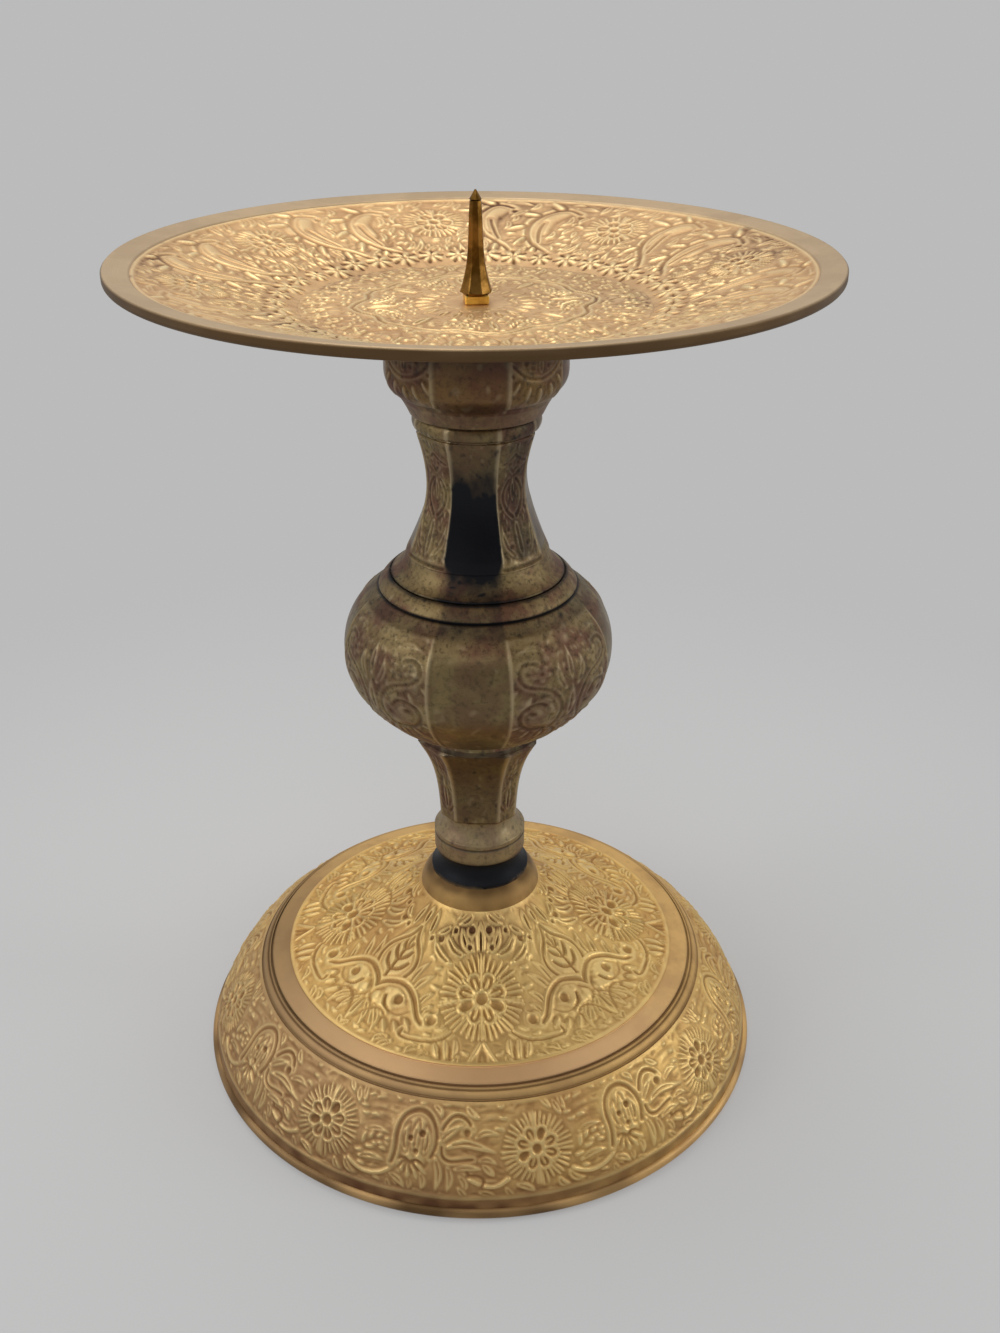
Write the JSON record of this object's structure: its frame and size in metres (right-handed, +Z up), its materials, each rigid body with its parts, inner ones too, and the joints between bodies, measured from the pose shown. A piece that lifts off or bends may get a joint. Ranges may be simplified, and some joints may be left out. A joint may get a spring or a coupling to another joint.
{
  "type": "pricket candle stand",
  "caption": "Free-standing brass pricket candle stand: a shallow round dish with a central spike on a faceted baluster stem and a domed foot.",
  "frame": {"origin": "middle of the foot's resting plane", "axes": "+Z up along the stem, towards the spike's point; -Y is the front, where one plain panel of the stem faces"},
  "size_m": [0.15, 0.15, 0.2143],
  "materials": {
    "gold_brass": "cast and carved, worn satin with brown in the recesses",
    "aged_brass": "tarnished olive brown, plain panels polished",
    "bright_brass": "machined, slightly dull",
    "spike_brass": "smooth, brown with heat and wax",
    "rod_steel": "zinc plated",
    "washer_steel": "zinc plated"
  },
  "bodies": {
    "root": {"foot_base": "gold_brass", "base_washer": "washer_steel", "base_nut": "rod_steel", "tie_rod": "rod_steel", "lower_stem": "aged_brass", "stem_bulb": "aged_brass", "stem_neck": "aged_brass", "plate_cup": "aged_brass", "drip_plate": "gold_brass", "spike_collar": "bright_brass", "pricket_spike": "spike_brass"}
  },
  "joints": []
}
